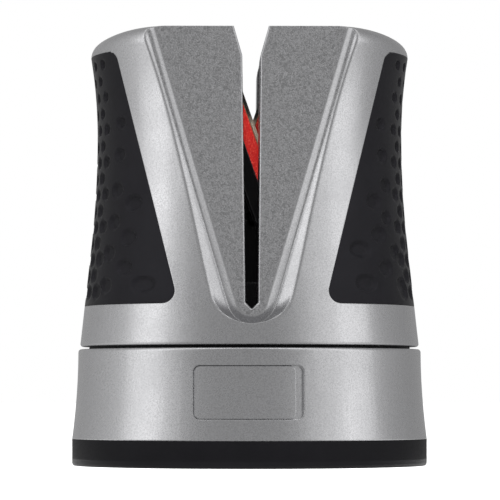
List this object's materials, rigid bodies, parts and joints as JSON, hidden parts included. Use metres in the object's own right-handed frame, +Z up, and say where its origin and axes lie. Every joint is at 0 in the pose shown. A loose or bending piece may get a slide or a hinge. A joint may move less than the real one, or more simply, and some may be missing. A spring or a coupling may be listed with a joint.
{
  "type": "pull through knife sharpener",
  "caption": "Tabletop pull through knife sharpener: a round cast metal tower with rubber side grips on a weighted base, with a blade slot over crossed, sprung sharpening arms.",
  "frame": {"origin": "on the table, under the middle of the round base", "axes": "+Z up; the blade is drawn along Y and the front with the badge looks towards -Y; +X to the right"},
  "size_m": [0.104, 0.104, 0.1257],
  "materials": {
    "cast_body": "cast, silver, satin",
    "badge": "bare, satin",
    "foot_rubber": "matt, soft",
    "grip_rubber": "matt, dimpled",
    "pad_rubber": "matt",
    "black_plastic": "glass filled, matt",
    "red_plastic": "satin",
    "abrasive": "fine abrasive grit",
    "backing_brass": "plain",
    "bush_bronze": "sintered bronze",
    "steel_parts": "zinc plated",
    "spring_steel": "drawn wire",
    "steel_plate": "zinc plated",
    "ballast_iron": "as cast"
  },
  "bodies": {
    "root_body": {"foot_ring": "foot_rubber", "base_housing": "cast_body", "base_deck": "cast_body", "base_pillars": "cast_body", "front_badge": "badge", "bottom_plate": "steel_plate", "ballast_weight": "ballast_iron", "bottom_plate_screws": "steel_parts", "base_screws": "steel_parts", "tower_housing": "cast_body", "right_grip": "grip_rubber", "left_grip": "grip_rubber", "arm_carrier": "black_plastic", "carrier_screws": "steel_parts", "pin_clips": "steel_parts", "pivot_washers": "steel_parts", "rest_stop_pads": "pad_rubber", "travel_stop_pads": "pad_rubber", "front_pivot_pin": "steel_parts", "rear_pivot_pin": "steel_parts", "front_arm_spring": "spring_steel", "rear_arm_spring": "spring_steel"},
    "front_arm": {"front_arm_lever": "black_plastic", "front_arm_rail": "red_plastic", "front_arm_backing": "backing_brass", "front_arm_abrasive": "abrasive", "front_rail_screws": "steel_parts", "front_arm_bush": "bush_bronze"},
    "rear_arm": {"rear_arm_lever": "black_plastic", "rear_arm_rail": "red_plastic", "rear_arm_backing": "backing_brass", "rear_arm_abrasive": "abrasive", "rear_rail_screws": "steel_parts", "rear_arm_bush": "bush_bronze"}
  },
  "joints": [
    {"name": "front_arm_pivot", "type": "hinge", "parent": "root_body", "child": "front_arm", "pos_m": [0.0153, 0, 0.0457], "axis": [0, -1, 0], "range_deg": [0, 17], "stiffness_Nm_per_rad": 0.12, "springref_deg": -34.38, "deforming": ["front_arm_spring"]},
    {"name": "rear_arm_pivot", "type": "hinge", "parent": "root_body", "child": "rear_arm", "pos_m": [-0.0137, 0, 0.0457], "axis": [0, 1, 0], "range_deg": [0, 17], "stiffness_Nm_per_rad": 0.12, "springref_deg": -34.38, "deforming": ["rear_arm_spring"]}
  ]
}
